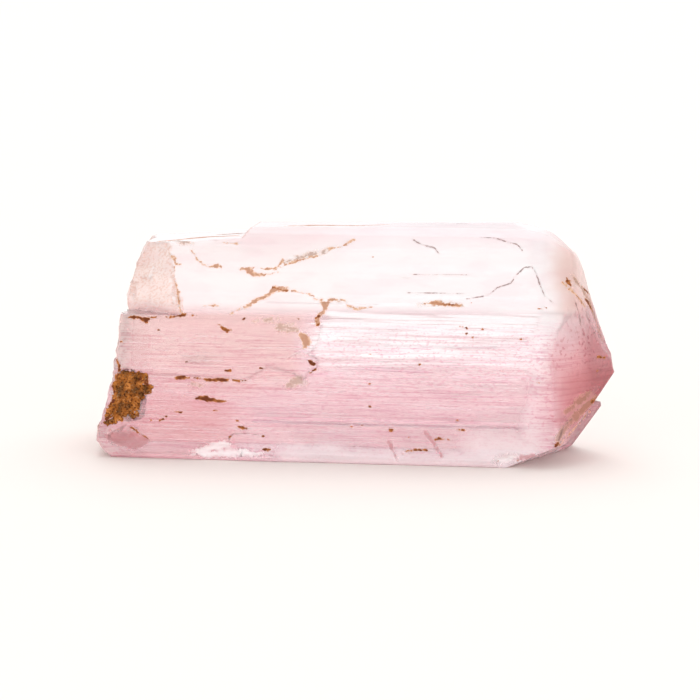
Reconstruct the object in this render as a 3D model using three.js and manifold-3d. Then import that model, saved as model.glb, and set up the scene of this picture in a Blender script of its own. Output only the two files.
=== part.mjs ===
// A kunzite crystal: one flattened, striated prism of pink spodumene that ends in a wedge-shaped
// tip and a rough break, with a crust of iron-stained clay lodged in a pit beside the break.
import * as THREE from 'three';
import { mergeVertices } from 'three/addons/utils/BufferGeometryUtils.js';
import Module from 'manifold-3d';

const wasm = await Module();
wasm.setup();

// Driving dimensions, in millimetres. x runs along the crystal from its broken end (0) to its
// tip (LENGTH), y from the front to the back and z up from the ground.
const LENGTH = 60;
const HEIGHT = 26.3;
const FRONT = -8.5;
const BACK = 8.6;

// Corners [y, z] of the prism's cross-section, counter-clockwise as seen from the tip.
const SECTION = {
  baseFront: [-8.1, 0],
  baseBack: [8.2, 0],
  backLow: [BACK, 0.5],
  backHigh: [8.4, 24.0],
  topBack: [6.2, HEIGHT],
  topFront: [0.7, HEIGHT - 0.2],
  bevelHigh: [-0.9, 25.2],
  bevelLow: [-6.7, 17.0],
  roundedEdge: [-7.7, 14.8],
  frontHigh: [-8.3, 12.4],
  frontLow: [FRONT, 0.5],
};

// Lengthwise growth ridges on every long face but the one the crystal rests on.
const RIDGE_PITCH = 0.8;
const RIDGE_DEPTH = 0.2;

// Growth layers that stop part-way along a face leave shallow steps: the face, the stretch of it
// across (0 to 1), the start and end along x, and the depth.
const STEPS = [
  { face: 'bevelHigh', across: [0.13, 0.18], along: [21, 46], depth: 0.14 },
  { face: 'bevelHigh', across: [0.52, 0.58], along: [29, 70], depth: 0.14 },
  { face: 'bevelHigh', across: [0.82, 0.88], along: [13, 41], depth: 0.14 },
  { face: 'roundedEdge', across: [0.3, 0.5], along: [27, 54], depth: 0.12 },
  { face: 'frontHigh', across: [0.3, 0.36], along: [24, 50], depth: 0.14 },
  { face: 'frontHigh', across: [0.62, 0.66], along: [19, 70], depth: 0.14 },
  { face: 'topBack', across: [0.25, 0.45], along: [26, 47], depth: 0.25 },
  { face: 'backLow', across: [0.1, 0.16], along: [16, 70], depth: 0.25 },
  { face: 'backLow', across: [0.46, 0.52], along: [-9, 33], depth: 0.25 },
  { face: 'backLow', across: [0.76, 0.84], along: [24, 51], depth: 0.25 },
];
const STEP_TAPER = 9;

// Faces that end the prism, each through a point and facing along a direction: those of the tip,
// then a bevel under it and the top, which falls a little towards the break. The tip's upper faces
// are etched, so they are bumpy by the given height.
const TIP = [LENGTH, -1, 10.2];
const END_FACES = [
  { at: TIP, facing: [0.76, -0.65, 0.05], bumpy: 0 },
  { at: TIP, facing: [0.91, -0.2, 0.33], bumpy: 0.22 },
  { at: TIP, facing: [0.72, 0.67, 0.12], bumpy: 0 },
  { at: [56.3, 1, 22.4], facing: [0.8, -0.1, 0.6], bumpy: 0.3 },
  { at: [53.8, 1, 24.5], facing: [0.48, -0.05, 0.87], bumpy: 0.25 },
  { at: [47.4, 1, HEIGHT], facing: [0.15, 0, 0.99], bumpy: 0 },
  { at: [51.6, -8, 1.5], facing: [0.4, -0.2, -0.9], bumpy: 0 },
  { at: [50, 0, HEIGHT], facing: [-0.015, 0, 1], bumpy: 0 },
];
const LOWER_FACE = [0.82, 0, -0.57];
const BUMP_PITCH = 1.5;

// A flake behind the lower tip face stands out past it, up to a small ledge.
const FLAKE_OUT = 1.25;
const FLAKE_FRONT_Y = 1.6;
const FLAKE_TOP = 6.1;

// The break at the far end: how far in its front edge lies [z, x] at each height, how much it
// runs outwards to the back, and how hackly it is.
const BREAK = [
  [-3, 4.5], [0, 2.6], [0.6, 1.5], [1.2, 0.9], [2.2, 0.6], [4.3, 1.4], [6.5, 2.2], [8, 2.6],
  [10, 3.2], [16.3, 3.6], [18.5, 3.6], [21, 4.5], [23.5, 5.5], [26, 7.0], [30, 9.5],
];
const BREAK_RUN = 0.07;
const BREAK_ROUGHNESS = 0.4;

// A slanting break runs from the end up the bevel, above a narrow shelf.
const SLANT = { at: [11.0, -6.9, 16.6], facing: [-0.45, -0.8, 0.41], shelf: 16.4 };

// A layer of the top is missing beside the break: its outline [x, z].
const MISSING_TOP = [[-9, 23.1], [8, 24.1], [16.8, 24.7], [18.0, HEIGHT], [18.0, 40], [-9, 40]];

// A thin plate has split off the front beside the break, and another off the back: outlines [x, z].
// The front one went deeper towards its upper edge, so the face that it left leans back.
const FRONT_PLATE_FACE = { at: [0, -7.0, 16.4], facing: [0, -0.99, 0.14] };
const FRONT_PLATE = [
  [-9, 17.2], [12.6, 17.2], [16.8, 16.2], [19.4, 16.9], [24.4, 17.1], [27.4, 16.8], [26.9, 14.6],
  [26.6, 13.4], [25.6, 12.5], [26.7, 11.9], [26.9, 11.1], [25.7, 10.4], [25.3, 9.5], [23.6, 10.3],
  [21.0, 10.9], [18.6, 9.4], [10.4, 9.7], [-9, 10.0],
];
const BACK_PLATE_Y = 8.15;
const BACK_PLATE = [
  [36, 7.6], [41, 6.2], [47, 7.0], [70, 6.4], [70, 15.4], [51, 14.8], [45.5, 16.4], [39, 15.2],
  [37.4, 11.8],
];

// Shell-like chips in the edges: middle and half sizes.
const CHIPS = [
  { at: [4.6, -10.2, 2.4], half: [3.4, 2.3, 2.5] },
  { at: [15.4, -8.9, 1.0], half: [2.9, 0.9, 1.2] },
  { at: [48.6, -8.8, 0.7], half: [1.8, 1.0, 1.0] },
  { at: [36.5, 7.4, 26.2], half: [3.2, 1.5, 1.0] },
  { at: [13.0, 9.2, 21.5], half: [3.0, 1.1, 2.3] },
  { at: [28.5, 9.0, 1.0], half: [3.6, 1.2, 1.1] },
];
const CHIP_ROUGHNESS = 0.15;

// The pit beside the break and the clay in it, which keeps a small gap all round.
const PIT = { at: [4.9, -7.5, 7.1], half: [2.0, 1.15, 2.9] };
const PIT_ROUGHNESS = 0.16;
const CLAY_GAP = 0.3;

// Reach of a cut that takes everything past a plane.
const FAR = 120;

// A fixed, random-looking value from 0 to 1 for a pair of numbers.
function chance(a, b) {
  const wave = Math.sin(a * 127.1 + b * 311.7) * 43758.5453;
  return wave - Math.floor(wave);
}

// A smooth, bumpy field from -1 to 1 over two coordinates.
function bumps(a, b) {
  const column = Math.floor(a);
  const row = Math.floor(b);
  const across = THREE.MathUtils.smoothstep(a - column, 0, 1);
  const up = THREE.MathUtils.smoothstep(b - row, 0, 1);
  const low = THREE.MathUtils.lerp(chance(column, row), chance(column + 1, row), across);
  const high = THREE.MathUtils.lerp(chance(column, row + 1), chance(column + 1, row + 1), across);
  return 2 * THREE.MathUtils.lerp(low, high, up) - 1;
}

// Height-by-height lookup in a list of [height, value] pairs.
function valueAt(list, height) {
  const above = list.findIndex(([z]) => z >= height);
  if (above === 0) return list[0][1];
  if (above === -1) return list.at(-1)[1];
  const [z0, value0] = list[above - 1];
  const [z1, value1] = list[above];
  return THREE.MathUtils.mapLinear(height, z0, z1, value0, value1);
}

// A closed geometry as a solid, and a solid as a named mesh.
function solid(geometry) {
  geometry.deleteAttribute('normal');
  geometry.deleteAttribute('uv');
  const merged = mergeVertices(geometry, 1e-4);
  return new wasm.Manifold(new wasm.Mesh({
    numProp: 3,
    vertProperties: new Float32Array(merged.attributes.position.array),
    triVerts: new Uint32Array(merged.index.array),
  }));
}

function namedMesh(name, body, material) {
  const { vertProperties, triVerts } = body.getMesh();
  const geometry = new THREE.BufferGeometry();
  geometry.setAttribute('position', new THREE.BufferAttribute(new Float32Array(vertProperties), 3));
  geometry.setIndex(new THREE.BufferAttribute(new Uint32Array(triVerts), 1));
  geometry.computeVertexNormals();
  const mesh = new THREE.Mesh(geometry, material);
  mesh.name = name;
  return mesh;
}

// A flat outline pushed straight out to a prism, laid along the given axes.
function prism(outline, depth, origin, across, up, out) {
  const shape = new THREE.Shape(outline.map(([a, b]) => new THREE.Vector2(a, b)));
  const geometry = new THREE.ExtrudeGeometry(shape, { depth, bevelEnabled: false });
  const frame = new THREE.Matrix4().makeBasis(across, up, out).setPosition(origin);
  return solid(geometry.applyMatrix4(frame));
}

const X = new THREE.Vector3(1, 0, 0);
const Y = new THREE.Vector3(0, 1, 0);
const Z = new THREE.Vector3(0, 0, 1);

// An outline in x and z, cut through from one y to a smaller one.
function sideCut(outline, fromY, toY) {
  return prism(outline, fromY - toY, Y.clone().multiplyScalar(fromY), X, Z, Y.clone().negate());
}

// Everything that lies past a plane, which may be bumpy.
function beyond(at, facing, bumpy = 0) {
  const cells = bumpy > 0 ? Math.round(FAR / BUMP_PITCH) : 1;
  const block = new THREE.BoxGeometry(FAR, FAR, FAR, cells, cells, 1);
  block.translate(0, 0, FAR / 2);
  const points = block.attributes.position;
  for (let i = 0; i < points.count; i += 1) {
    if (points.getZ(i) > 0) continue;
    points.setZ(i, bumpy * bumps(points.getX(i) / BUMP_PITCH, points.getY(i) / BUMP_PITCH));
  }
  const turn = new THREE.Quaternion().setFromUnitVectors(Z, new THREE.Vector3(...facing).normalize());
  block.applyQuaternion(turn);
  return solid(block.translate(...at));
}

// A box between two corners.
function block(low, high) {
  const size = high.map((value, axis) => value - low[axis]);
  const middle = high.map((value, axis) => (value + low[axis]) / 2);
  return solid(new THREE.BoxGeometry(...size).translate(...middle));
}

// A rounded, uneven lump; shrink takes the same thickness off all round.
function lump({ at, half }, roughness, seed, shrink = 0) {
  const geometry = new THREE.IcosahedronGeometry(1, 3);
  const points = geometry.attributes.position;
  const point = new THREE.Vector3();
  for (let i = 0; i < points.count; i += 1) {
    point.fromBufferAttribute(points, i).normalize();
    const swell = 1 + roughness * bumps(3 * point.x + 2 * point.y + 17 * seed, 3 * point.z - 2 * point.y);
    const scaled = half.map((size, axis) => point.getComponent(axis) * (size * swell - shrink));
    points.setXYZ(i, ...scaled);
  }
  return solid(geometry.translate(...at));
}

// The prism's cross-section with its growth ridges, pushed out along the whole length.
function striatedPrism() {
  const corners = Object.values(SECTION).map(([y, z]) => new THREE.Vector2(y, z));
  const outline = corners.flatMap((corner, face) => {
    const next = corners[(face + 1) % corners.length];
    const edge = next.clone().sub(corner);
    const inward = new THREE.Vector2(-edge.y, edge.x).normalize();
    const ridges = face === 0 ? 1 : Math.floor(edge.length() / RIDGE_PITCH);
    const points = [corner];
    for (let ridge = 1; ridge < ridges; ridge += 1) {
      const along = (ridge + 0.7 * (chance(face, ridge) - 0.5)) / ridges;
      const depth = RIDGE_DEPTH * chance(ridge, face + 20);
      points.push(corner.clone().lerp(next, along).addScaledVector(inward, depth));
    }
    return points;
  });
  return prism(outline.map(({ x, y }) => [x, y]), LENGTH + 2, new THREE.Vector3(-1, 0, 0), Y, Z, X);
}

// One shallow step in a long face, narrowing to a point at each end.
function growthStep({ face, across, along, depth }) {
  const names = Object.keys(SECTION);
  const [y0, z0] = SECTION[face];
  const [y1, z1] = SECTION[names[(names.indexOf(face) + 1) % names.length]];
  const edge = new THREE.Vector3(0, y1 - y0, z1 - z0);
  const [low, high] = across.map((share) => share * edge.length());
  const [start, end] = along;
  const middle = (low + high) / 2;
  const outline = [
    [middle, start], [high, start + STEP_TAPER], [high, end - STEP_TAPER],
    [middle, end], [low, end - STEP_TAPER], [low, start + STEP_TAPER],
  ];
  edge.normalize();
  const out = new THREE.Vector3().crossVectors(edge, X);
  const origin = new THREE.Vector3(0, y0, z0).addScaledVector(out, -depth);
  return prism(outline, 1 + depth, origin, edge, X, out);
}

// The rough block that is missing past the break, from below the crystal to above it.
function brokenAway() {
  const reach = 20;
  const below = 3;
  const width = BACK - FRONT + 2 * below;
  const height = HEIGHT + 2 * below;
  const geometry = new THREE.BoxGeometry(reach, width, height, 1, 14, 20);
  geometry.translate(-reach / 2, 0, height / 2 - below);
  const points = geometry.attributes.position;
  for (let i = 0; i < points.count; i += 1) {
    if (points.getX(i) < -reach / 2) continue;
    const y = points.getY(i);
    const z = points.getZ(i);
    const coarse = bumps(y / 2.3, z / 1.9 + 5);
    const fine = bumps(y / 1.1, z + 9);
    const hackle = BREAK_ROUGHNESS * (coarse + 0.6 * fine);
    points.setX(i, Math.max(0, valueAt(BREAK, z) - BREAK_RUN * (y - FRONT) + hackle));
  }
  return solid(geometry);
}

function crystalBody() {
  let body = striatedPrism();
  STEPS.forEach((step) => {
    body = body.subtract(growthStep(step));
  });
  END_FACES.forEach(({ at, facing, bumpy }) => {
    body = body.subtract(beyond(at, facing, bumpy));
  });

  const flake = block([0, FLAKE_FRONT_Y, -FAR], [FAR, FAR, FLAKE_TOP]);
  const flakeAt = new THREE.Vector3(...LOWER_FACE).setLength(FLAKE_OUT).add(new THREE.Vector3(...TIP));
  body = body.subtract(beyond(TIP, LOWER_FACE).subtract(flake));
  body = body.subtract(beyond(flakeAt.toArray(), LOWER_FACE));

  const underShelf = block([-FAR, -FAR, -FAR], [FAR, FAR, SLANT.shelf]);
  body = body.subtract(beyond(SLANT.at, SLANT.facing).subtract(underShelf));
  body = body.subtract(brokenAway());
  body = body.subtract(sideCut(MISSING_TOP, FAR, -FAR));
  const plateFace = beyond(FRONT_PLATE_FACE.at, FRONT_PLATE_FACE.facing);
  body = body.subtract(sideCut(FRONT_PLATE, 0, -FAR).intersect(plateFace));
  body = body.subtract(sideCut(BACK_PLATE, FAR, BACK_PLATE_Y));
  CHIPS.forEach((chip, index) => {
    body = body.subtract(lump(chip, CHIP_ROUGHNESS, index));
  });
  return body.subtract(lump(PIT, PIT_ROUGHNESS, CHIPS.length));
}

const kunzite = new THREE.MeshStandardMaterial({ color: 0xf2c9d2, roughness: 0.2, metalness: 0 });
const clay = new THREE.MeshStandardMaterial({ color: 0x955c38, roughness: 0.95, metalness: 0 });

const group = new THREE.Group();
group.add(namedMesh('crystal', crystalBody(), kunzite));
group.add(namedMesh('clay_crust', lump(PIT, PIT_ROUGHNESS, CHIPS.length, CLAY_GAP), clay));

// The origin lies on the ground, under the middle of the crystal.
const size = new THREE.Box3().setFromObject(group);
const middle = size.getCenter(new THREE.Vector3());
group.position.set(-middle.x, -middle.y, -size.min.z);

export default group;
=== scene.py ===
import math
import random

import bmesh
import bpy
from mathutils import Matrix, Vector, noise
from mathutils.bvhtree import BVHTree
from mathutils.geometry import intersect_point_tri_2d, tessellate_polygon
from mathutils.kdtree import KDTree


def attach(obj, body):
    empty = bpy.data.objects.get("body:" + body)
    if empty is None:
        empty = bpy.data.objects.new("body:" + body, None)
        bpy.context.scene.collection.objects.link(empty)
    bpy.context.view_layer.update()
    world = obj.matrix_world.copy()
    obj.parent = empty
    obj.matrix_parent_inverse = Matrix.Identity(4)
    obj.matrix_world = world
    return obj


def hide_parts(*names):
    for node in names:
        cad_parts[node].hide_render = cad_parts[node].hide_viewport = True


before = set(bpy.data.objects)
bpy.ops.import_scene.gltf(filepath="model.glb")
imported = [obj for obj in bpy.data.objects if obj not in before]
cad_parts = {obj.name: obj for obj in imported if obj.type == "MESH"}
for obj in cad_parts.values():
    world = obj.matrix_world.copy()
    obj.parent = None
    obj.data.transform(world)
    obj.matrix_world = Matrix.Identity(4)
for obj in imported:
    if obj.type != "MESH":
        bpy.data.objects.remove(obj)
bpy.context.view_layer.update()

# The view of the photograph: a long lens a little above the table, facing the crystal's front,
# with the tip turned slightly towards it.
view_aim = Vector((-0.00065, 0.0, 0.01173))
view_turn = math.radians(8)
view_rise = math.radians(9)
view_distance = 0.3
view_lens = 133
view_sensor = 36
photo_side = 700
level = math.cos(view_rise)
to_camera = Vector((math.sin(view_turn) * level, -math.cos(view_turn) * level, math.sin(view_rise)))
camera_data = bpy.data.cameras.new("view")
camera_data.lens = view_lens
camera_data.sensor_width = view_sensor
camera = bpy.data.objects.new("view", camera_data)
camera.location = view_aim + to_camera * view_distance
camera.rotation_euler = (-to_camera).to_track_quat("-Z", "Y").to_euler()
bpy.context.scene.collection.objects.link(camera)
bpy.context.scene.camera = camera

# The crystal: one prism of pink spodumene, grown with fine ridges along its length. It is one
# body with crisp growth edges, meshed finely so that stains can be laid on its surface.
mesh_depth = 8
mesh_fill = 0.7
weld_distance = 0.000001


def merged_copy(node_name):
    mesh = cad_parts[node_name].data.copy()
    shape = bmesh.new()
    shape.from_mesh(mesh)
    bmesh.ops.remove_doubles(shape, verts=shape.verts, dist=weld_distance)
    shape.to_mesh(mesh)
    shape.free()
    return mesh


crystal = bpy.data.objects.new("crystal_body", merged_copy("crystal"))
bpy.context.scene.collection.objects.link(crystal)
remesh = crystal.modifiers.new("fine_surface", "REMESH")
remesh.mode = "SHARP"
remesh.octree_depth = mesh_depth
remesh.scale = mesh_fill
remesh.sharpness = 1.0
bpy.context.view_layer.objects.active = crystal
bpy.ops.object.modifier_apply(modifier=remesh.name)

# The broken end and the slanted break above it are hackly: small splinter faces at uneven depths,
# left where the prism was snapped off its bed.
splinter_size = 0.0018
splinter_depth = 0.0003
splinter_scatter = 7
half_depth = 0.5
chip_share = 0.3
chips_per_splinter = 3
break_reach = -0.019
break_facing = -0.3
surface = bmesh.new()
surface.from_mesh(crystal.data)
surface.normal_update()
splinters = surface.verts.layers.float.new("splinters")
for vertex in surface.verts:
    if vertex.co.x < break_reach and vertex.normal.x < break_facing:
        spot = vertex.co / splinter_size
        centre = noise.voronoi(spot)[1][0]
        lean = noise.cell_vector(centre * splinter_scatter) * 2 - Vector((1, 1, 1))
        chips = chip_share * noise.noise(spot * chips_per_splinter)
        hollow = max(0, half_depth + (spot - centre).dot(lean) + chips)
        vertex.co -= vertex.normal * splinter_depth * hollow
        vertex[splinters] = hollow

# The shoulder above the tip and the tip's front edge are rounded, as if the crystal had begun to
# dissolve there again. The rounding fades out where they begin.
shoulder_start = Vector((0.0195, 0, 0.0125))
shoulder_fade = 0.005
front_edge_start = Vector((0.0205, -0.004, 0.0035))
front_edge_fade = 0.003
rounding_passes = 40
rounding_factor = 0.5


def is_rounded(place, faded):
    on_shoulder = min(place.x - shoulder_start.x, place.z - shoulder_start.z) / shoulder_fade
    past_start = place - front_edge_start
    on_front_edge = min(past_start.x, -past_start.y, past_start.z) / front_edge_fade
    return max(on_shoulder, on_front_edge) > faded


for rounding_pass in range(rounding_passes):
    faded = rounding_pass / rounding_passes
    rounded = [vertex for vertex in surface.verts if is_rounded(vertex.co, faded)]
    bmesh.ops.smooth_vert(
        surface,
        verts=rounded,
        factor=rounding_factor,
        use_axis_x=True,
        use_axis_y=True,
        use_axis_z=True,
    )

# Stains: films of rust, ochre and grey clay drawn into cracks and etched streaks, with thin brown
# hazes, and some frosted and some deeper pink fractures. Each is a path of columns and rows in the
# photograph, with a half-width.
rust = {
    "shelf_left": [
        (128, 317.3, 0.8), (134, 317, 1.6), (140, 318, 2), (146, 320, 2.6), (150, 317.5, 1.2),
        (156, 317, 0.4),
    ],
    "shelf_middle": [
        (165, 316.5, 0.8), (171, 317.3, 1.6), (178, 316.2, 0.8), (181, 315, 2.2), (184, 315, 1.8),
        (186, 314, 0.6),
    ],
    "shelf_thread": [(192, 315.2, 0.6), (198, 315.2, 0.5)],
    "plate_wedge": [(217.5, 323.5, 0.4), (222, 328, 1.2), (227.5, 331, 2), (231, 330.5, 0.8)],
    "long_crack_left": [(177, 377.7, 1.8), (184, 376.5, 1.7), (191.6, 379.5, 0.6)],
    "long_crack_middle": [
        (192, 378, 0.5), (200, 378.2, 0.7), (210, 380.3, 1.4), (221, 380, 1.4), (228, 379.8, 0.8),
    ],
    "long_crack_right": [(233, 380, 0.9), (240, 381.2, 1.3), (245, 380.8, 0.7)],
    "lens": [
        (194, 398.4, 0.6), (200, 398.2, 2), (208, 399.3, 2.9), (216, 400.4, 2.4), (225, 401.3, 0.6),
    ],
    "under_long_crack": [(182, 395.8, 0.6), (185.7, 396.2, 0.5)],
    "left_dash_low": [(175, 411.7, 0.5), (178, 412, 0.8), (181.5, 412.3, 0.5)],
    "left_dash_high": [(213, 410.3, 0.7), (217.5, 410.3, 0.5)],
    "dark_spot_high": [(238.4, 427.7, 0.6), (243, 427.5, 1.6), (246.7, 428.6, 0.8)],
    "dark_spot_low": [(260.5, 450, 0.5), (265.6, 449.8, 2.0), (270, 449.9, 0.6)],
    "plate_foot_left": [(225.3, 370.3, 0.7), (230.3, 370.5, 0.6)],
    "plate_foot_right": [(259.6, 368.3, 0.8), (262.7, 368, 0.7)],
    "plate_end_high": [(307.3, 359.6, 0.8), (311, 362.5, 2.2), (314.5, 364, 1.2)],
    "plate_end_low": [(310.4, 373, 0.9), (315.6, 369.1, 0.6)],
    "vein_heart": [(273, 287.5, 0.4), (280, 289.5, 0.5), (292, 291.5, 0.4)],
    "fork_foot": [(315.6, 317.5, 1), (319.9, 315.7, 1.1)],
    "bevel_edge_dash": [(443, 304.6, 0.7), (453.3, 304.5, 0.9)],
    "shoulder_dash": [(536, 308.5, 0.5), (542, 308.5, 0.8), (546.3, 307.6, 0.9)],
    "band_dash": [(459.4, 327, 0.6), (467.1, 328.3, 0.7)],
    "low_dash_long": [(405.1, 450.9, 0.6), (415, 450.4, 0.7), (427.5, 450.1, 0.8)],
    "low_dash_orange": [(435.2, 439.4, 0.6), (440.4, 438.9, 1.4), (449, 439.9, 0.7)],
    "low_dash_high": [(456, 420.3, 0.6), (461, 420.3, 0.6)],
    "low_dash_middle": [(457.6, 430.3, 0.6), (465, 430.3, 0.7)],
    "low_red_spot": [(390, 429.9, 1), (392, 430, 0.9)],
    "tip_edge_high": [(566.8, 278, 0.9), (568, 281, 1.6), (571.3, 286, 0.8)],
    "tip_edge_middle": [(584.2, 289, 0.7), (589.4, 294.2, 1.3)],
    "tip_edge_brown": [(585, 299, 1), (588, 302, 2), (592, 310.6, 1.2)],
    "tip_dash": [(598, 357.1, 0.6), (604.8, 357.6, 0.9)],
    "tip_dot": [(597, 370.8, 0.8), (598, 370.8, 0.8)],
    "flake_foot": [(556, 446, 1.8), (557.5, 443.6, 1.6)],
    "flake_ledge": [(592, 401.5, 0.9), (603, 400, 0.8)],
    "facet_dash": [(537, 382, 0.9), (539, 382, 0.6)],
    "lens_fracture_top": [(110, 429.4, 0.8), (119, 429.6, 0.8)],
    "lens_fracture_rim": [(131, 427, 0.5), (141.7, 434.5, 0.6), (150.3, 440.6, 0.7)],
    "above_clay": [(117, 360, 0.8), (119, 366, 1.4), (119, 371, 1.2)],
    "clay_halo_top": [(118, 377, 3), (130, 375, 4), (143, 378, 4)],
    "clay_halo_right": [(146, 381, 3.5), (148, 388, 2.5), (146, 393, 1.5)],
    "clay_halo_left": [(116, 384, 3), (117, 396, 3), (112, 408, 3.5), (107, 418, 3)],
}
speck_spots = [
    (373, 257), (469, 299), (472, 303), (482, 329.5), (472.6, 337.3), (467, 333.8), (403.4, 454),
    (408.5, 437), (455.4, 434), (316, 321), (318, 325), (311.3, 322.6), (297.8, 318.8), (244, 318.8),
    (158, 330), (121.3, 341.6), (186, 361.7), (237, 420.8), (263.4, 436.3), (230.3, 437.1), (151, 420),
    (160.6, 420.4), (163, 419.4), (166.6, 416.8), (424, 460.4), (352, 426.8), (369.8, 383.8),
    (369.8, 407), (544.6, 337), (520.5, 339), (498, 461), (517.9, 460.4), (522, 463), (341, 420),
    (362, 425), (388, 398), (475, 236), (420, 365), (502, 371), (371, 354), (374, 354),
]
speck_half = 0.3
speck_reach = 0.6
ochre = {
    "left_crack_top": [(170, 254.3, 0.5), (174.4, 259.8, 1.9), (176, 264, 2.4), (181, 264, 0.8)],
    "left_crack": [
        (174.4, 266.7, 1.5), (172.7, 271.8, 0.7), (175.2, 283.9, 0.8), (177.8, 291.6, 1.2),
        (179, 304, 0.7), (182, 314, 1.5),
    ],
    "top_thread": [(191.6, 250, 0.6), (197.6, 259.8, 0.9), (204.5, 265.8, 0.6)],
    "top_patch": [(206, 266.1, 1.4), (220, 266.1, 1.8)],
    "top_dash": [(224.3, 242.6, 0.6), (236.4, 243.4, 0.6)],
    "shelf_dash": [(204.5, 305.4, 0.4), (211, 305.4, 1), (217.5, 305.4, 0.4)],
    "vein_left": [
        (239.8, 270, 1), (245.8, 268.4, 1.7), (252.7, 273.5, 3.8), (258, 274.4, 2.2),
        (269, 274.4, 0.9), (277.7, 271.8, 1.2),
    ],
    "vein_right_foot": [
        (270, 272.5, 0.8), (278, 268.5, 1.0), (286, 264.5, 1.0), (300, 260, 0.7), (318, 256, 0.4),
    ],
    "vein_end": [(329.4, 248.6, 0.6), (341.4, 246.9, 0.5), (353.5, 240, 0.5)],
    "vein_branch": [
        (245.8, 268.4, 1), (255.3, 267.5, 0.7), (265.6, 269.2, 0.9), (275, 268.4, 1),
        (280.3, 264.1, 1.1), (283.7, 259.8, 1.2),
    ],
    "brown_vein": [
        (230.3, 313.2, 0.7), (236.4, 310.6, 1.1), (245, 306.3, 1.4), (255.3, 301.1, 1.5),
        (264, 297.7, 1.5), (270.8, 292.5, 1.8),
    ],
    "brown_vein_head": [(270.8, 292.5, 1.7), (275, 288.2, 2.3), (288, 289.9, 2.3), (295, 290.8, 0.8)],
    "brown_vein_end": [(295, 290.8, 0.5), (305.3, 293.4, 0.5), (314, 295.9, 0.5)],
    "fork_stem": [
        (315.6, 298.5, 1), (321.6, 301.1, 2), (326, 306.3, 2.6), (323.3, 311.4, 2.8),
        (318.2, 315.7, 2), (317.3, 323.5, 1.2),
    ],
    "fork_arm": [
        (326, 304.5, 1.2), (329.4, 299.4, 1.2), (336.3, 299.4, 0.9), (343, 300.2, 0.5),
        (348.3, 306.3, 0.5),
    ],
    "fork_thread": [(348.3, 306.3, 0.5), (358, 309, 0.5), (372, 307, 0.6)],
    "plate_patch": [(300, 333.8, 1.6), (304, 337, 3.4), (306, 341, 4), (305, 346, 2)],
    "bevel_edge_haze": [(424, 303.7, 0.8), (434.4, 303, 1.8), (446.4, 304.5, 1.8), (460, 306, 0.8)],
    "flake_edge": [(557, 447.5, 0.8), (574, 429, 0.7), (590, 411, 0.8)],
    "tip_edge_haze": [(563, 283, 0.8), (577, 296, 1.2), (585, 306, 1.4)],
}
haze = {
    "top_left": [(164, 241, 1), (178, 241, 3), (192, 243, 1)],
    "vein_right": [
        (284, 262.5, 1), (296.6, 258.5, 1.5), (310.4, 254.5, 1.5), (322.5, 252, 1.2),
        (329.4, 248.6, 0.8),
    ],
    "shoulder_rim": [(572, 276, 1.6), (583, 290, 3), (591, 304, 3.4), (596, 322, 2.4), (602, 340, 1.4)],
    "plate_beige": [(279.4, 327, 2.4), (288, 328, 3.6), (296, 329, 2)],
    "plate_olive": [(288, 385.5, 2), (298.4, 381.2, 4.2), (305.3, 384.6, 2)],
    "plate_peach": [(253.6, 321.8, 1), (266, 320, 1.6), (279.4, 318.3, 1.2)],
    "under_crack_grey": [(190, 384, 1), (196, 385, 1.6), (203, 385, 0.8)],
    "bevel_edge": [(418, 304, 1), (440, 303, 3), (462, 306, 1)],
    "flake_olive": [(558, 441, 2), (564, 429, 4), (573, 419, 4.5), (584, 408, 4), (596, 397, 2.5)],
    "tip_orange": [(566, 412, 1.5), (577, 403, 3), (590, 394, 2.5)],
    "break_edge": [(104, 408, 1.2), (100, 421, 1.6), (97, 432, 1.2)],
}
grey = {
    "thread_high": [(413.7, 240, 0.8), (422.3, 245, 0.7), (434.4, 247.7, 0.5), (438.7, 253, 0.5)],
    "thread_right": [
        (473, 236.5, 0.5), (496.4, 238.2, 0.5), (505.8, 241.7, 0.6), (517, 244.3, 0.5),
        (522.2, 250.3, 0.5),
    ],
    "arch_left": [
        (467, 298.9, 0.6), (481, 296.8, 0.5), (489.5, 294.2, 0.5), (498, 287.3, 0.6), (511, 283, 0.6),
        (517, 274.4, 0.7),
    ],
    "arch_right": [
        (517, 274.4, 0.6), (524, 267.5, 0.6), (531.7, 266.7, 0.6), (536, 273.5, 0.5),
        (540.3, 285.6, 0.6), (544.6, 296, 0.5),
    ],
    "arch_foot": [(544.6, 296, 0.5), (555, 304.5, 0.5)],
    "plate_rim": [(286.3, 359.6, 0.5), (291.5, 356.2, 0.5), (299.2, 352.8, 0.5)],
    "tab_rim": [
        (229.5, 443, 0.5), (229, 437, 0.6), (233, 434, 0.5), (246, 433.5, 0.4), (262, 435, 0.4),
    ],
    "bevel_line_high": [(401, 274, 0.3), (417, 274.6, 0.4), (467, 274.8, 0.2)],
    "bevel_line_low": [(408, 292.8, 0.2), (430, 293, 0.3), (463, 293.4, 0.2)],
    "ridge": [(575.6, 302.8, 0.8), (579, 313.2, 1), (580.8, 325.2, 0.8)],
    "tip_rim": [(586, 313, 0.6), (592, 328, 0.6), (598, 342.4, 0.5)],
    "flake_foot": [(559, 440, 0.8), (563.5, 427, 1.2), (572, 418.2, 1)],
}
frost = {
    "low_chip": [(190, 454, 1.5), (204, 450, 3), (216, 446, 4), (228, 444, 2)],
    "low_chip_foot": [(200, 455, 2), (222, 452, 3), (240, 453, 3.4), (262, 454, 1.6)],
    "corner_chip": [(496, 460, 2), (506, 458, 3.6), (514, 456, 2.4)],
}
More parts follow.
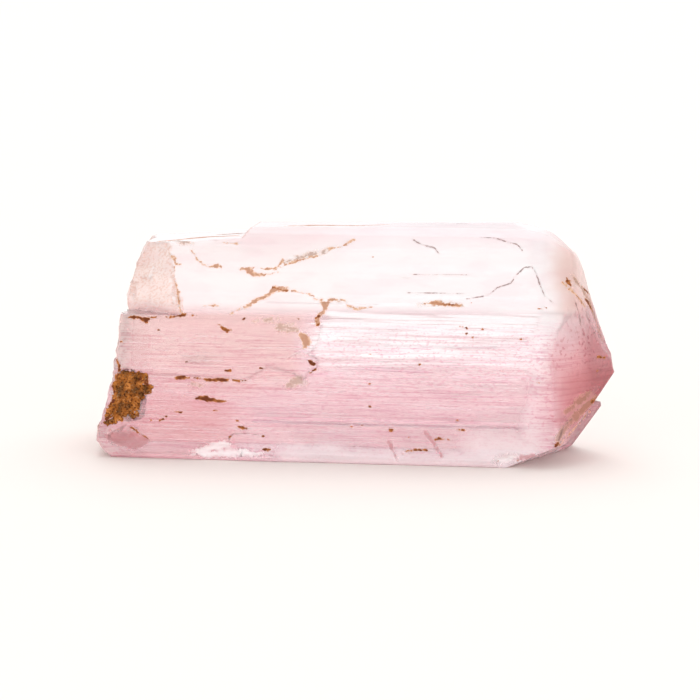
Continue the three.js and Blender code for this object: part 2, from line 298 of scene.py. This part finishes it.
rose = {
    "lens_fracture": [(106, 436, 2), (118, 438, 7), (132, 440, 7.5), (146, 440, 3.5)],
    "corner_block": [(521, 457, 2.5), (532, 457, 2.5)],
    "tip_foot": [(566, 418, 1.5), (576, 408, 3), (588, 398, 3), (598, 388, 2)],
    "low_crack_left": [(388, 440.6, 1.1), (392.2, 449.2, 1.1), (397.4, 460.4, 0.8)],
    "low_crack_right": [(425, 432, 0.8), (434.4, 444, 1.3), (441.3, 455.2, 1.0)],
}
photo_scale = view_sensor / view_lens / photo_side
pixel_size = view_distance * photo_scale
camera_turn = camera.rotation_euler.to_matrix()
surface_tree = BVHTree.FromBMesh(surface)
stroke_step = 0.7
thinnest = 0.00003
waver_share = 0.4
waver_scale = 1500


def sight(tree, column, row):
    aim = Vector(((column - photo_side / 2) * photo_scale, (photo_side / 2 - row) * photo_scale, -1))
    return tree.ray_cast(camera.location, (camera_turn @ aim).normalized())


def points_along(path, spacing):
    for start, end in zip(path, path[1:]):
        steps = max(1, round(math.dist(start[:2], end[:2]) / spacing))
        for step in range(steps + 1):
            yield Vector(start).lerp(Vector(end), step / steps)


def wavering(place):
    return 1 + waver_share * noise.noise(place * waver_scale)


def laid_on_crystal(path):
    laid = []
    for column, row, half in points_along(path, stroke_step):
        place = sight(surface_tree, column, row)[0]
        if place is not None:
            laid.append((place, max(thinnest, half * pixel_size * wavering(place))))
    return laid


layers = {"rust": rust, "ochre": ochre, "haze": haze, "grey": grey, "frost": frost, "rose": rose}
stains = {layer: [] for layer in layers}
for layer, paths in layers.items():
    for path in paths.values():
        stains[layer] += laid_on_crystal(path)
for column, row in speck_spots:
    speck = [(column - speck_reach, row, speck_half), (column + speck_reach, row, speck_half)]
    stains["rust"] += laid_on_crystal(speck)

# The unseen sides carry the same kind of stains: paths along the back, as x and z in millimetres
# with a half-width, and along the top, as x and y.
back_stains = {
    "rust": [
        [(-21, 9.0, 0.05), (-19, 9.1, 0.15), (-16, 9.0, 0.08)],
        [(-4, 15.2, 0.05), (-2.5, 15.3, 0.15), (-1, 15.2, 0.05)],
        [(14, 12.6, 0.05), (15.5, 12.7, 0.12), (17, 12.6, 0.05)],
    ],
    "ochre": [
        [(-21, 22, 0.05), (-17, 20.4, 0.2), (-12, 20.8, 0.15), (-8, 19.6, 0.05)],
        [(-12, 20.8, 0.05), (-10, 22.2, 0.12), (-6, 23.0, 0.05)],
    ],
    "grey": [
        [(8, 22, 0.05), (12, 20.6, 0.05), (15, 21.4, 0.05), (19, 19.4, 0.05)],
    ],
}
top_stains = {
    "ochre": [
        [(-9, 1.5, 0.15), (-5, 2.6, 0.4), (0, 2.2, 0.25), (4, 3.6, 0.1)],
        [(-23, 0, 0.3), (-18, 2.4, 0.5), (-14, 2.0, 0.2)],
    ],
    "rust": [
        [(7, 4.0, 0.1), (9, 4.1, 0.25), (11, 4.0, 0.1)],
        [(-17, 4.4, 0.1), (-15, 4.5, 0.25), (-13.6, 4.4, 0.1)],
    ],
}
mm = 0.001
side_step = 0.08
clear_of_crystal = 0.1
x_axis = Vector((1, 0, 0))
y_axis = Vector((0, 1, 0))
z_axis = Vector((0, 0, 1))


def laid_from_side(path, looking, along):
    laid = []
    for first, second, half in points_along(path, side_step):
        origin = (x_axis * first + along * second) * mm - looking * clear_of_crystal
        place = surface_tree.ray_cast(origin, looking)[0]
        if place is not None:
            laid.append((place, half * mm * wavering(place)))
    return laid


for side_stains, looking, along in ((back_stains, -y_axis, z_axis), (top_stains, -z_axis, y_axis)):
    for layer, paths in side_stains.items():
        for path in paths:
            stains[layer] += laid_from_side(path, looking, along)

# Where a film lies, the surface is divided more finely, so that its ragged edge is sharp. Each layer
# is stored as the distance from the film's edge, from 0 well outside it to 1 well inside.
film_edge = 0.00025
film_cuts = 3


def points_tree(vertices):
    tree = KDTree(len(vertices))
    for vertex in vertices:
        tree.insert(vertex.co, vertex.index)
    tree.balance()
    return tree


coarse_points = points_tree(surface.verts)
surface.verts.ensure_lookup_table()
stained_edges = {}
for layer in ("rust", "ochre", "grey", "rose"):
    for place, half in stains[layer]:
        for _, index, _ in coarse_points.find_range(place, half + film_edge):
            stained_edges.update(dict.fromkeys(surface.verts[index].link_edges))
bmesh.ops.subdivide_edges(surface, edges=list(stained_edges), cuts=film_cuts, use_grid_fill=True)
surface.to_mesh(crystal.data)
surface.free()
crystal.data.shade_smooth()

fine_points = points_tree(crystal.data.vertices)
for layer, laid in stains.items():
    strength = crystal.data.attributes.new(layer, "FLOAT", "POINT")
    for place, half in laid:
        for _, index, distance in fine_points.find_range(place, half + film_edge):
            inside = 0.5 + 0.5 * (half - distance) / film_edge
            strength.data[index].value = max(strength.data[index].value, min(1, inside))

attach(crystal, "root")
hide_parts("crystal")

# The kunzite itself: clear pink spodumene, deepest at the tip, with a satin, finely ridged surface. Its
# upper bevel is painted palest, a painted sheen of the overhead lamp. Etched stretches are frosted, and
# the stains lie on it as thin films.
kunzite = bpy.data.materials.new("kunzite")
kunzite.use_nodes = True
nodes = kunzite.node_tree.nodes
links = kunzite.node_tree.links
shader = nodes["Principled BSDF"]
shader.inputs["IOR"].default_value = 1.66
shader.inputs["Specular IOR Level"].default_value = 0.2
absorption = nodes.new("ShaderNodeVolumeAbsorption")
absorption.inputs["Color"].default_value = (0.98, 0.45, 0.57, 1)
absorption.inputs["Density"].default_value = 35
links.new(absorption.outputs["Volume"], nodes["Material Output"].inputs["Volume"])
crystal.data.materials.clear()
crystal.data.materials.append(kunzite)


def object_millimetres():
    place = nodes.new("ShaderNodeTexCoord")
    scaled = nodes.new("ShaderNodeVectorMath")
    scaled.operation = "SCALE"
    scaled.inputs["Scale"].default_value = 1000
    links.new(place.outputs["Object"], scaled.inputs["Vector"])
    return scaled.outputs["Vector"], place.outputs["Normal"]


def parts_of(vector):
    node = nodes.new("ShaderNodeSeparateXYZ")
    links.new(vector, node.inputs["Vector"])
    return node.outputs


def calculate(operation, first, second, third=0.0):
    node = nodes.new("ShaderNodeMath")
    node.operation = operation
    for socket, value in zip(node.inputs, (first, second, third)):
        if isinstance(value, (int, float)):
            socket.default_value = value
        else:
            links.new(value, socket)
    return node.outputs["Value"]


def overlap(*height_tints_and_bevel_sheen):
    shared = height_tints_and_bevel_sheen[0]
    for zone in height_tints_and_bevel_sheen[1:]:
        shared = calculate("MULTIPLY", shared, zone)
    return shared


def outside(zone, share=1.0):
    return calculate("MULTIPLY_ADD", zone, -share, 1.0)


def ramp_between(value, start, end, low=0.0, high=1.0):
    node = nodes.new("ShaderNodeMapRange")
    node.interpolation_type = "SMOOTHSTEP"
    node.inputs["From Min"].default_value = min(start, end)
    node.inputs["From Max"].default_value = max(start, end)
    node.inputs["To Min"].default_value = low if start < end else high
    node.inputs["To Max"].default_value = high if start < end else low
    links.new(value, node.inputs["Value"])
    return node.outputs["Result"]


def mottle(size_mm, stretch=1.0, detail=3, deep=1.0):
    spread = nodes.new("ShaderNodeMapping")
    spread.inputs["Scale"].default_value = (1 / size_mm / stretch, 1 / size_mm / deep, 1 / size_mm)
    links.new(millimetres, spread.inputs["Vector"])
    pattern = nodes.new("ShaderNodeTexNoise")
    pattern.inputs["Scale"].default_value = 1
    pattern.inputs["Detail"].default_value = detail
    links.new(spread.outputs["Vector"], pattern.inputs["Vector"])
    return pattern.outputs["Fac"]


def blend_colour(kind, share, under, over):
    node = nodes.new("ShaderNodeMix")
    node.data_type = "RGBA"
    node.blend_type = kind
    for name, value in (("Factor", share), ("A", under), ("B", over)):
        if isinstance(value, tuple):
            node.inputs[name].default_value = value
        else:
            links.new(value, node.inputs[name])
    return node.outputs["Result"]


def shaded_by(pattern, stops):
    node = nodes.new("ShaderNodeValToRGB")
    first, last = node.color_ramp.elements
    first.position, first.color = stops[0]
    last.position, last.color = stops[-1]
    for share, colour in stops[1:-1]:
        node.color_ramp.elements.new(share).color = colour
    links.new(pattern, node.inputs["Fac"])
    return node.outputs["Color"]


millimetres, normal = object_millimetres()
where = parts_of(millimetres)
facing = parts_of(normal)
clouds = mottle(7.0)
streaks = mottle(0.55, stretch=26, detail=4)
fine_streaks = mottle(0.17, stretch=40, detail=3)
tip_streaks = mottle(0.25, stretch=20, detail=3, deep=20)
specks = mottle(0.5, detail=4)
grain = mottle(0.22, stretch=1.8, detail=4)
long_face = ramp_between(calculate("ABSOLUTE", facing["X"], 0.0), 0.5, 0.15)
sway_x = 6.0
sway_z = 4.0
clouded_x = calculate("MULTIPLY_ADD", clouds, sway_x, calculate("SUBTRACT", where["X"], sway_x / 2))
clouded_z = calculate("MULTIPLY_ADD", clouds, sway_z, calculate("SUBTRACT", where["Z"], sway_z / 2))

# Painted sheen: the base colour is pinkest low on the front and pales to near white over the bevel.
height_tints_and_bevel_sheen = [
    (0.0, (0.99, 0.95, 0.96, 1)),
    (0.10, (0.985, 0.90, 0.915, 1)),
    (0.24, (0.98, 0.86, 0.89, 1)),
    (0.34, (0.985, 0.92, 0.945, 1)),
    (0.47, (0.99, 0.955, 0.97, 1)),
    (0.62, (0.995, 0.985, 0.988, 1)),
    (1.0, (0.998, 0.99, 0.99, 1)),
]
crystal_height = 26.3
surface_colour = shaded_by(calculate("DIVIDE", clouded_z, crystal_height), height_tints_and_bevel_sheen)
veils = ramp_between(mottle(2.6, stretch=2.5, detail=4), 0.46, 0.62)
surface_colour = blend_colour("MULTIPLY", veils, surface_colour, (0.985, 0.945, 0.955, 1))

# The front plate, the low left of the front and the slanted break are browner, each in its own bounds,
# in millimetres along the crystal and up.
plate = overlap(
    ramp_between(clouded_x, -4.0, -6.5),
    ramp_between(where["Z"], 17.0, 16.2),
    ramp_between(clouded_z, 7.0, 10.0),
)
surface_colour = blend_colour("MULTIPLY", plate, surface_colour, (0.96, 0.88, 0.82, 1))
low_left = overlap(ramp_between(clouded_x, -11.0, -16.0), ramp_between(clouded_z, 10.0, 6.0))
surface_colour = blend_colour("MULTIPLY", low_left, surface_colour, (0.93, 0.78, 0.77, 1))
slant = overlap(ramp_between(facing["X"], -0.15, -0.3), ramp_between(where["Z"], 16.2, 17.0))
surface_colour = blend_colour("MULTIPLY", slant, surface_colour, (0.95, 0.88, 0.84, 1))
slant_grain = overlap(slant, ramp_between(grain, 0.45, 0.65))
surface_colour = blend_colour("MULTIPLY", slant_grain, surface_colour, (0.93, 0.80, 0.74, 1))

# The tip is the deepest pink, most of all round its point, with an ochre rim on the shoulder, a paler
# flake under it and short dark etch marks.
point_height = 9.0
rim = overlap(ramp_between(clouded_x, 21.0, 25.0), ramp_between(where["Z"], 16.0, 18.5))
surface_colour = blend_colour("MULTIPLY", rim, surface_colour, (0.82, 0.63, 0.58, 1))
off_point = calculate("ABSOLUTE", calculate("SUBTRACT", where["Z"], point_height), 0.0)
tip_x = calculate("MULTIPLY_ADD", off_point, -0.5, clouded_x)
flake = overlap(
    ramp_between(where["Y"], 1.4, 1.9),
    ramp_between(where["Z"], 6.6, 6.0),
    ramp_between(where["X"], 21.5, 23.0),
)
tip = overlap(
    ramp_between(tip_x, 19.0, 25.5),
    ramp_between(clouded_z, 20.5, 17.5),
    outside(flake, 0.8),
    ramp_between(where["Y"], 3.0, -1.5, 0.5, 1.0),
)
surface_colour = blend_colour("MULTIPLY", tip, surface_colour, (0.76, 0.37, 0.38, 1))
tip_low = overlap(
    ramp_between(where["X"], 22.8, 25.5),
    ramp_between(clouded_z, 12.5, 9.0),
    outside(calculate("MAXIMUM", flake, long_face)),
)
surface_colour = blend_colour("MULTIPLY", tip_low, surface_colour, (0.82, 0.62, 0.61, 1))
surface_colour = blend_colour("MIX", flake, surface_colour, (1.0, 0.86, 0.87, 1))
dashes = overlap(tip, ramp_between(where["Z"], 9.0, 14.0), ramp_between(specks, 0.55, 0.64))
surface_colour = blend_colour("MULTIPLY", dashes, surface_colour, (0.62, 0.34, 0.38, 1))

# Bright and dark streaks run along the front: painted highlights and painted shade standing in for the
# light on its ridges, thickest in a band under the bevel, where the lamp's reflection is painted as
# whiter, frosted streaks. Dark ones run on over the tip. A pale foot and fine dust lie below them.
# Painted highlight: the band where the lamp's reflection is painted whiter.
highlight_band = overlap(
    ramp_between(clouded_x, -6.5, -1.5),
    ramp_between(clouded_x, 24.0, 20.0),
    ramp_between(where["Z"], 5.5, 14.5),
    ramp_between(where["Z"], 18.5, 16.5),
)
streaked = calculate("MULTIPLY_ADD", streaks, 0.5, calculate("MULTIPLY", fine_streaks, 0.5))
# Painted highlight streaks, whitest in the band.
highlight_streaks = ramp_between(calculate("MULTIPLY_ADD", highlight_band, 0.32, streaked), 0.64, 0.84)
surface_colour = blend_colour("MIX", highlight_streaks, surface_colour, (0.995, 0.975, 0.985, 1))
front_low = overlap(ramp_between(where["Z"], 17.5, 13.5), long_face)
# Painted shade between the ridges: fine darker pink lines.
ridge_shade_lines = overlap(ramp_between(fine_streaks, 0.52, 0.64), front_low)
surface_colour = blend_colour("MULTIPLY", ridge_shade_lines, surface_colour, (0.87, 0.68, 0.75, 1))
# Painted shade of the ridges, running on over the tip.
tip_ridge_shade = overlap(
    ramp_between(tip_streaks, 0.5, 0.62),
    ramp_between(where["X"], 20.5, 22.5),
    ramp_between(where["Z"], 15.5, 12.5),
    outside(flake),
)
surface_colour = blend_colour("MULTIPLY", tip_ridge_shade, surface_colour, (0.88, 0.75, 0.79, 1))
# Painted highlights on the ridge tops: fine paler lines.
ridge_highlight_lines = overlap(
    ramp_between(fine_streaks, 0.46, 0.36),
    front_low,
    calculate("MULTIPLY_ADD", highlight_band, 0.5, 0.45),
    ramp_between(where["X"], 21.0, 18.5),
)
surface_colour = blend_colour("MIX", ridge_highlight_lines, surface_colour, (0.99, 0.94, 0.96, 1))
foot_left = overlap(ramp_between(clouded_z, 3.2, 0.8), ramp_between(clouded_x, -10.0, -6.0))
foot_right = overlap(ramp_between(clouded_z, 6.0, 2.5), ramp_between(clouded_x, 11.0, 16.0))
foot = overlap(calculate("MAXIMUM", foot_left, foot_right), ramp_between(where["X"], 23.0, 21.0))
surface_colour = blend_colour("MIX", foot, surface_colour, (0.995, 0.95, 0.965, 1))
dusty = overlap(ramp_between(grain, 0.54, 0.62), front_low, outside(foot, 0.7))
surface_colour = blend_colour("MULTIPLY", dusty, surface_colour, (0.90, 0.72, 0.77, 1))

# The crown and the left of the bevel are creamier. The broken end is browner: iron staining in a mottle,
# with painted shade deepening in its hollows.
bevel = ramp_between(where["Z"], 16.2, 18.0)
crown = ramp_between(clouded_z, 23.0, 25.5)
surface_colour = blend_colour("MULTIPLY", crown, surface_colour, (0.97, 0.90, 0.92, 1))
creamy = overlap(bevel, ramp_between(clouded_x, 2.0, -6.0))
surface_colour = blend_colour("MULTIPLY", creamy, surface_colour, (0.99, 0.94, 0.93, 1))
broken_end = ramp_between(where["X"], -22.5, -27.5)
hollows = nodes.new("ShaderNodeAttribute")
hollows.attribute_name = "splinters"
# Iron staining in a mottle, plus painted shade that deepens with each hollow's depth.
stain_and_hollow_shade = calculate("MULTIPLY_ADD", mottle(0.5, detail=5), 0.6, hollows.outputs["Fac"])
stain_and_hollow_shade = overlap(ramp_between(stain_and_hollow_shade, 0.35, 1.3), broken_end)
surface_colour = blend_colour("MULTIPLY", stain_and_hollow_shade, surface_colour, (0.92, 0.80, 0.76, 1))

# Frosted stretches let less light through, each by a share of its own.
shoulder = overlap(bevel, ramp_between(where["X"], 17.0, 23.0))
end_faces = overlap(ramp_between(where["X"], 19.5, 23.0), outside(flake))
front_end = overlap(
    ramp_between(clouded_x, 19.0, 22.0),
    long_face,
    ramp_between(where["Z"], 18.5, 17.0),
    ramp_between(where["Z"], 3.0, 11.0, 0.55, 1.0),
)
frosted_zones = [
    (highlight_streaks, 0.75),
    (ridge_highlight_lines, 0.4),
    (bevel, 0.7),
    (shoulder, 0.75),
    (broken_end, 0.35),
    (end_faces, 0.36),
    (front_end, 0.68),
    (front_low, 0.12),
    (foot, 0.42),
]
etched = 0.0
for zone, cloudiness in frosted_zones:
    etched = calculate("MAXIMUM", overlap(zone, cloudiness), etched)

# The films lie over all of this, the darkest last. Each has a raggedness, a softness and a spread of its
# edge, a cover, and a dark and a light colour.
film_looks = {
    "rose": (0.8, 0.35, 0.06, 0.75, (0.57, 0.22, 0.23, 1), (0.65, 0.30, 0.32, 1)),
    "frost": (0.8, 0.4, 0.02, 0.85, (0.98, 0.92, 0.93, 1), (1.0, 0.97, 0.97, 1)),
    "haze": (1.2, 0.5, 0.0, 0.65, (0.36, 0.18, 0.08, 1), (0.70, 0.45, 0.28, 1)),
    "grey": (0.3, 0.10, -0.01, 0.75, (0.14, 0.06, 0.055, 1), (0.30, 0.17, 0.15, 1)),
    "ochre": (0.8, 0.16, 0.04, 0.9, (0.48, 0.21, 0.10, 1), (0.76, 0.47, 0.29, 1)),
    "rust": (0.6, 0.10, 0.03, 1.0, (0.14, 0.026, 0.004, 1), (0.46, 0.16, 0.04, 1)),
}
coarse_patches = ramp_between(mottle(0.9, stretch=1.6, detail=3), 0.35, 0.65)
fine_patches = ramp_between(mottle(0.3, detail=4), 0.35, 0.65)
patches = calculate("MULTIPLY_ADD", coarse_patches, 0.5, calculate("MULTIPLY", fine_patches, 0.5))
uneven_patches = calculate("SUBTRACT", patches, 0.5)
uneven_depth = calculate("SUBTRACT", mottle(0.5, detail=5), 0.5)
depth_share = 1.2
first_trace = 0.12
film_middle = 0.5
darkest_from = 0.8


def film(under, layer, raggedness, softness, spread, cover, dark, light):
    strength = nodes.new("ShaderNodeAttribute")
    strength.attribute_name = layer
    uneven = calculate("MULTIPLY_ADD", uneven_patches, raggedness, strength.outputs["Fac"])
    present = ramp_between(strength.outputs["Fac"], 0.0, first_trace)
    edge = film_middle - spread
    covered = ramp_between(uneven, edge - softness, edge + softness)
    share = overlap(present, covered, cover)
    depth = calculate("MULTIPLY_ADD", uneven_depth, depth_share, uneven)
    colour = shaded_by(depth, [(edge, light), (darkest_from, dark)])
    return blend_colour("MIX", share, under, colour), share


covers = {}
for layer, look in film_looks.items():
    surface_colour, covers[layer] = film(surface_colour, layer, *look)
links.new(surface_colour, shader.inputs["Base Color"])
rose_clouding = 0.4
stained = calculate("MULTIPLY", covers["rose"], rose_clouding)
for layer in ("ochre", "rust", "grey", "haze", "frost"):
    stained = calculate("MAXIMUM", stained, covers[layer])
cloudy = calculate("MAXIMUM", stained, etched)
clearest = 0.85
links.new(calculate("MULTIPLY_ADD", cloudy, -clearest, clearest), shader.inputs["Transmission Weight"])
satin = calculate("MULTIPLY_ADD", streaks, 0.14, 0.15)
links.new(calculate("MULTIPLY_ADD", stained, 0.5, satin), shader.inputs["Roughness"])

ridges = calculate("MULTIPLY_ADD", fine_streaks, 0.25, streaks)
hackles = calculate("MULTIPLY_ADD", mottle(2.4, detail=5), calculate("MULTIPLY", broken_end, 2.0), specks)
pitted = overlap(hackles, outside(long_face))
raised = overlap(long_face, outside(bevel, 0.8))
relief = calculate("MULTIPLY_ADD", ridges, raised, pitted)
ridge_height = 0.00007
ridge_bump = nodes.new("ShaderNodeBump")
ridge_bump.inputs["Strength"].default_value = 1.0
ridge_bump.inputs["Distance"].default_value = ridge_height
links.new(relief, ridge_bump.inputs["Height"])
links.new(ridge_bump.outputs["Normal"], shader.inputs["Normal"])

# The clay crust: brown, iron-stained clay packed into the pit low on the broken end, with grains caked
# on and around it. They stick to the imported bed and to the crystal. Its outline is in columns and rows
# of the photograph.
crust_outline = [
    (116, 378), (125, 374), (131, 372), (142, 373), (149, 377), (147, 381), (151, 387), (148, 394),
    (142, 401), (137, 407), (140, 416), (136, 418), (124, 416), (119, 420), (112, 425), (105, 424),
    (104, 417), (108, 409.5), (114, 404.5), (116, 396), (114, 389),
]
pit_gap = 0.00028
clump_seed = 5
clump_count = 280
clump_columns = (101, 153)
clump_rows = (369, 426)
clump_sizes = (0.00015, 0.0005)
clump_shape = ((0.5, 1.2), (0.2, 0.35), (0.5, 1.2))
clump_swing = 0.8
crumb_cell = 0.00006
crumb_height = 0.0001
crumb_scales = (1800, 4500, 9000)
crust = bpy.data.objects.new("clay_mass", merged_copy("clay_crust"))
bpy.context.scene.collection.objects.link(crust)
crust_shape = bmesh.new()
crust_shape.from_mesh(crust.data)
crust_shape.normal_update()
for vertex in crust_shape.verts:
    vertex.co += vertex.normal * pit_gap
packed_tree = BVHTree.FromBMesh(crust_shape)
outline_points = [Vector(spot) for spot in crust_outline]
outline_triangles = tessellate_polygon([[point.to_3d() for point in outline_points]])


def in_outline(spot):
    for triangle in outline_triangles:
        if intersect_point_tri_2d(spot, *[outline_points[corner] for corner in triangle]):
            return True
    return False


def on_crust(spot):
    hits = [sight(tree, *spot) for tree in (surface_tree, packed_tree)]
    nearest = min(hits, key=lambda hit: math.inf if hit[0] is None else hit[3])
    return nearest[0]


chance = random.Random(clump_seed)
clumps = 0
while clumps < clump_count:
    spot = Vector((chance.uniform(*clump_columns), chance.uniform(*clump_rows)))
    place = on_crust(spot) if in_outline(spot) else None
    if place is None:
        continue
    clumps += 1
    size = chance.uniform(*clump_sizes)
    squash = Vector([chance.uniform(*bound) for bound in clump_shape]) * size
    swing = Matrix.Rotation(chance.uniform(-clump_swing, clump_swing), 4, "Y")
    setting = Matrix.Translation(place) @ swing @ Matrix.Diagonal(squash.to_4d())
    bmesh.ops.create_icosphere(crust_shape, subdivisions=2, radius=1.0, matrix=setting)
crust_shape.to_mesh(crust.data)
crust_shape.free()
caked = crust.modifiers.new("caked", "REMESH")
caked.mode = "VOXEL"
caked.voxel_size = crumb_cell
bpy.context.view_layer.objects.active = crust
bpy.ops.object.modifier_apply(modifier=caked.name)
crumbled = bmesh.new()
crumbled.from_mesh(crust.data)
crumbled.normal_update()
for vertex in crumbled.verts:
    lumps = sum(noise.noise(vertex.co * scale) for scale in crumb_scales)
    vertex.co += vertex.normal * crumb_height * lumps
crumbled.to_mesh(crust.data)
crumbled.free()
crust.data.shade_smooth()
clay = bpy.data.materials.new("iron_clay")
clay.use_nodes = True
nodes = clay.node_tree.nodes
links = clay.node_tree.links
millimetres = object_millimetres()[0]
clay_shader = nodes["Principled BSDF"]
olive_to_orange = [
    (0.38, (0.19, 0.075, 0.022, 1)),
    (0.5, (0.36, 0.115, 0.02, 1)),
    (0.62, (0.62, 0.24, 0.06, 1)),
]
clay_colour = shaded_by(mottle(1.2, detail=4), olive_to_orange)
dark_crumbs = ramp_between(mottle(0.25, detail=3), 0.51, 0.6)
clay_colour = blend_colour("MULTIPLY", dark_crumbs, clay_colour, (0.35, 0.30, 0.28, 1))
pale_crumbs = ramp_between(mottle(0.27, detail=3), 0.60, 0.68, 0.0, 0.4)
clay_colour = blend_colour("MIX", pale_crumbs, clay_colour, (0.50, 0.34, 0.20, 1))
links.new(clay_colour, clay_shader.inputs["Base Color"])
clay_shader.inputs["Roughness"].default_value = 0.9
clay_shader.inputs["Specular IOR Level"].default_value = 0.15
crumb_bump = nodes.new("ShaderNodeBump")
crumb_bump.inputs["Strength"].default_value = 1.0
crumb_bump.inputs["Distance"].default_value = 0.00012
links.new(mottle(0.12, detail=4), crumb_bump.inputs["Height"])
links.new(crumb_bump.outputs["Normal"], clay_shader.inputs["Normal"])
crust.data.materials.clear()
crust.data.materials.append(clay)
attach(crust, "root")
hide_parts("clay_crust")

# The table: a plain pale sheet, large enough to fill the view. The crystal touches it only in places,
# so a hair's breadth of air is left under its base.
table_half = 3.0
hair_gap = 0.00004
table_shape = bmesh.new()
table_place = Matrix.Translation((0, 0, -hair_gap))
bmesh.ops.create_grid(table_shape, x_segments=1, y_segments=1, size=table_half, matrix=table_place)
table_mesh = bpy.data.meshes.new("table")
table_shape.to_mesh(table_mesh)
table_shape.free()
table = bpy.data.objects.new("table", table_mesh)
bpy.context.scene.collection.objects.link(table)
paper = bpy.data.materials.new("table_paper")
paper.use_nodes = True
paper.node_tree.nodes["Principled BSDF"].inputs["Base Color"].default_value = (0.93, 0.86, 0.82, 1)
paper.node_tree.nodes["Principled BSDF"].inputs["Roughness"].default_value = 0.9
table_mesh.materials.append(paper)

# The light: a white studio tent, brightest low down, with one soft lamp above and behind the crystal, so
# that its shadow falls to the front, and a wide, weak fill from the front.
back_lamp = Vector((0.05, 0.35, 0.93)).normalized()
front_fill = Vector((0.0, -0.99, 0.12)).normalized()
tent = bpy.data.worlds.new("tent")
tent.use_nodes = True
nodes = tent.node_tree.nodes
links = tent.node_tree.links
direction = nodes.new("ShaderNodeTexCoord")


def lamp_glow(lamp, edge, heart, strength):
    node = nodes.new("ShaderNodeVectorMath")
    node.operation = "DOT_PRODUCT"
    node.inputs[1].default_value = lamp
    links.new(direction.outputs["Generated"], node.inputs[0])
    return ramp_between(node.outputs["Value"], edge, heart, 0.0, strength)


wall_top = 0.4
wall_foot = 1.3
height = parts_of(direction.outputs["Generated"])["Z"]
walls = ramp_between(height, 0.65, 0.15, wall_top, wall_foot)
lamps = calculate("ADD", lamp_glow(back_lamp, 0.7, 0.9, 1.5), lamp_glow(front_fill, 0.3, 0.9, 0.72))
links.new(calculate("ADD", walls, lamps), nodes["Background"].inputs["Strength"])
nodes["Background"].inputs["Color"].default_value = (1, 1, 1, 1)
bpy.context.scene.world = tent
bpy.context.scene.view_settings.view_transform = "Standard"
